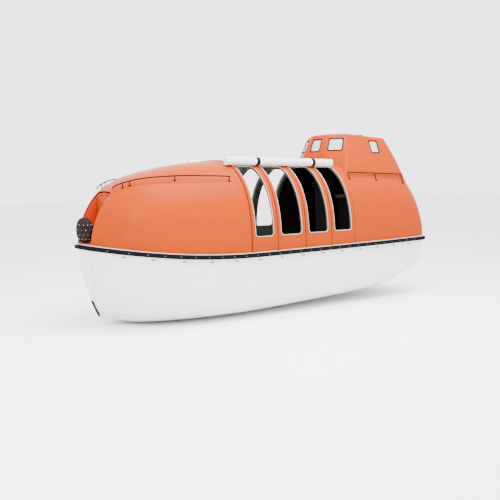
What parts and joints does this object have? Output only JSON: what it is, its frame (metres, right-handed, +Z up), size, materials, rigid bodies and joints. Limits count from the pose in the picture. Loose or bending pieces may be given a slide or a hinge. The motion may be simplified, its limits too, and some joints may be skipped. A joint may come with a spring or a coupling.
{
  "type": "partially enclosed lifeboat",
  "caption": "Ship's partially enclosed lifeboat: white hull, orange canopies with open side bays and rolled curtains, helm cupola, hatches, lifting hooks, propeller and rudder.",
  "frame": {"origin": "amidships on the centreline at the waterline", "axes": "+X to the bow, +Y to port, +Z up"},
  "size_m": [7.5805, 2.78, 3.518],
  "materials": {
    "hull_white": "gel-coated glass fibre",
    "canopy_orange": "gel-coated glass fibre, bright orange",
    "liner_grey": "satin pale grey-green glass fibre",
    "rail_pale": "satin pale moulding",
    "fender_black": "black rubber",
    "canvas_white": "coated white canvas",
    "coir_brown": "coir rope work",
    "steel": "satin stainless steel",
    "bronze": "dull bronze",
    "window_glass": "clear acrylic",
    "engine_paint": "green enamel",
    "cushion_grey": "dark vinyl"
  },
  "bodies": {
    "boat": {"hull": "hull_white", "keel": "hull_white", "stem_guard": "fender_black", "gunwale_rail": "rail_pale", "rubber_fender": "fender_black", "fore_canopy": "canopy_orange", "bay_1": "canopy_orange", "bay_2": "canopy_orange", "bay_3": "canopy_orange", "bay_4": "canopy_orange", "aft_canopy": "canopy_orange", "cupola": "canopy_orange", "window_front": "window_glass", "window_angled_port": "window_glass", "window_angled_starboard": "window_glass", "window_side_port": "window_glass", "window_side_starboard": "window_glass", "window_aft": "window_glass", "fore_hook_bracket": "steel", "aft_hook_bracket": "steel", "fore_handrail_port": "steel", "fore_handrail_starboard": "steel", "aft_handrail_port": "steel", "aft_handrail_starboard": "steel", "canvas_roll_port": "canvas_white", "canvas_roll_starboard": "canvas_white", "bow_fender": "coir_brown", "rudder_gland": "bronze", "sole": "liner_grey", "side_bench_port": "liner_grey", "side_bench_starboard": "liner_grey", "centre_bench": "liner_grey", "engine_casing": "liner_grey", "engine_block": "engine_paint", "helm_console": "liner_grey", "helm_seat_column": "liner_grey", "helm_seat": "cushion_grey"},
    "propeller": {"propeller": "bronze"},
    "rudder": {"rudder": "bronze"},
    "steering_wheel": {"steering_wheel": "fender_black"},
    "bow_hatch": {"bow_hatch": "canopy_orange"},
    "stern_hatch": {"stern_hatch": "canopy_orange"},
    "cupola_hatch": {"cupola_hatch": "canopy_orange"},
    "fore_hook": {"fore_hook": "steel"},
    "aft_hook": {"aft_hook": "steel"}
  },
  "joints": [
    {"name": "propeller_spin", "type": "hinge", "parent": "boat", "child": "propeller", "pos_m": [-2.95, 0, -0.29], "axis": [1, 0, 0], "continuous": true},
    {"name": "wheel_turn", "type": "hinge", "parent": "boat", "child": "steering_wheel", "pos_m": [-1.9603, 0, 2.08], "axis": [1, 0, 0], "range_deg": [-450, 450]},
    {"name": "rudder_turn", "type": "hinge", "parent": "boat", "child": "rudder", "pos_m": [-3.27, 0, -0.115], "axis": [0, 0, 1], "range_deg": [-35, 35]},
    {"name": "bow_hatch_swing", "type": "hinge", "parent": "boat", "child": "bow_hatch", "pos_m": [3.26, 0, 1.791], "axis": [0, -1, 0], "range_deg": [0, 100]},
    {"name": "stern_hatch_swing", "type": "hinge", "parent": "boat", "child": "stern_hatch", "pos_m": [-3.36, 0, 1.841], "axis": [0, 1, 0], "range_deg": [0, 100]},
    {"name": "cupola_hatch_swing", "type": "hinge", "parent": "boat", "child": "cupola_hatch", "pos_m": [-2.825, 0, 2.997], "axis": [0, -1, 0], "range_deg": [0, 110]},
    {"name": "fore_hook_release", "type": "hinge", "parent": "boat", "child": "fore_hook", "pos_m": [3.34, 0, 1.155], "axis": [0, 1, 0], "range_deg": [0, 40]},
    {"name": "aft_hook_release", "type": "hinge", "parent": "boat", "child": "aft_hook", "pos_m": [-3.5, 0, 0.97], "axis": [0, -1, 0], "range_deg": [0, 60]}
  ],
  "couplings": [
    {"joint": "rudder_turn", "follows": "wheel_turn", "ratio": 0.0777}
  ]
}
